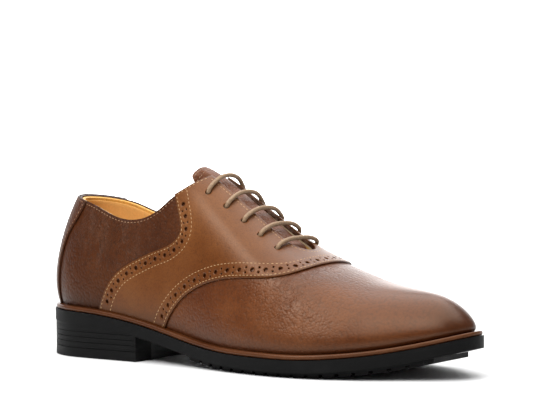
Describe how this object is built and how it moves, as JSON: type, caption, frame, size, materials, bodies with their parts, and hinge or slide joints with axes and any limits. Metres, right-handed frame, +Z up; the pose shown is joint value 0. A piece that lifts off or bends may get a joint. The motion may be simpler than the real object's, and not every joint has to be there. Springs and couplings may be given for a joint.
{
  "type": "shoe",
  "caption": "Low-cut lace-up saddle oxford for golf: plain toe, contrast perforated saddle, five straight lace bars, brown welt, black rubber sole with stacked heel.",
  "frame": {"origin": "bottom centre of the outsole's length and width, on the ground plane", "axes": "+X to the toe, -Y to the outer (lateral) side of the foot, +Z up"},
  "size_m": [0.305, 0.1068, 0.1191],
  "materials": {
    "outsole": "matt",
    "heel_block": "matt",
    "heel_top_lift": "matt",
    "forefoot_tread": "matt",
    "welt": "edge dressed",
    "shank": "spring temper",
    "cork_filler": "granulated cork",
    "insole_board": "fibreboard",
    "footbed": "smooth, cushioned",
    "heel_nails": "plain",
    "vamp": "fine pebbled, satin",
    "lateral_quarter": "coarse pebbled",
    "medial_quarter": "coarse pebbled",
    "saddle": "smooth tan, perforated edges",
    "backstay": "coarse pebbled",
    "heel_counter": "fibre stiffener",
    "collar_padding": "foam-backed cloth",
    "toe_puff": "fibre stiffener",
    "lateral_facing_stay": "woven tape",
    "medial_facing_stay": "woven tape",
    "vamp_lining": "woven cotton",
    "lateral_quarter_lining": "smooth golden tan",
    "medial_quarter_lining": "smooth golden tan",
    "heel_grip": "suede side out",
    "blind_eyelets": "plain",
    "tongue": "coarse pebbled",
    "tongue_lining": "smooth golden tan",
    "lace": "waxed cotton, round",
    "lace_tips": "clear brown"
  },
  "bodies": {
    "tongue": {"tongue": "tongue", "tongue_lining": "tongue_lining"},
    "shoe": {"outsole": "outsole", "heel_block": "heel_block", "heel_top_lift": "heel_top_lift", "forefoot_tread": "forefoot_tread", "welt": "welt", "shank": "shank", "cork_filler": "cork_filler", "insole_board": "insole_board", "footbed": "footbed", "heel_nails": "heel_nails", "vamp": "vamp", "lateral_quarter": "lateral_quarter", "medial_quarter": "medial_quarter", "saddle": "saddle", "backstay": "backstay", "heel_counter": "heel_counter", "collar_padding": "collar_padding", "toe_puff": "toe_puff", "lateral_facing_stay": "lateral_facing_stay", "medial_facing_stay": "medial_facing_stay", "vamp_lining": "vamp_lining", "lateral_quarter_lining": "lateral_quarter_lining", "medial_quarter_lining": "medial_quarter_lining", "heel_grip": "heel_grip", "blind_eyelets": "blind_eyelets", "lace": "lace", "lace_tips": "lace_tips"}
  },
  "joints": [
    {"name": "tongue_fold", "type": "hinge", "parent": "shoe", "child": "tongue", "pos_m": [0.0445, 0.0024, 0.0483], "axis": [0, -1, 0], "range_deg": [0, 10], "stiffness_Nm_per_rad": 0.15, "springref_deg": -17.19}
  ]
}
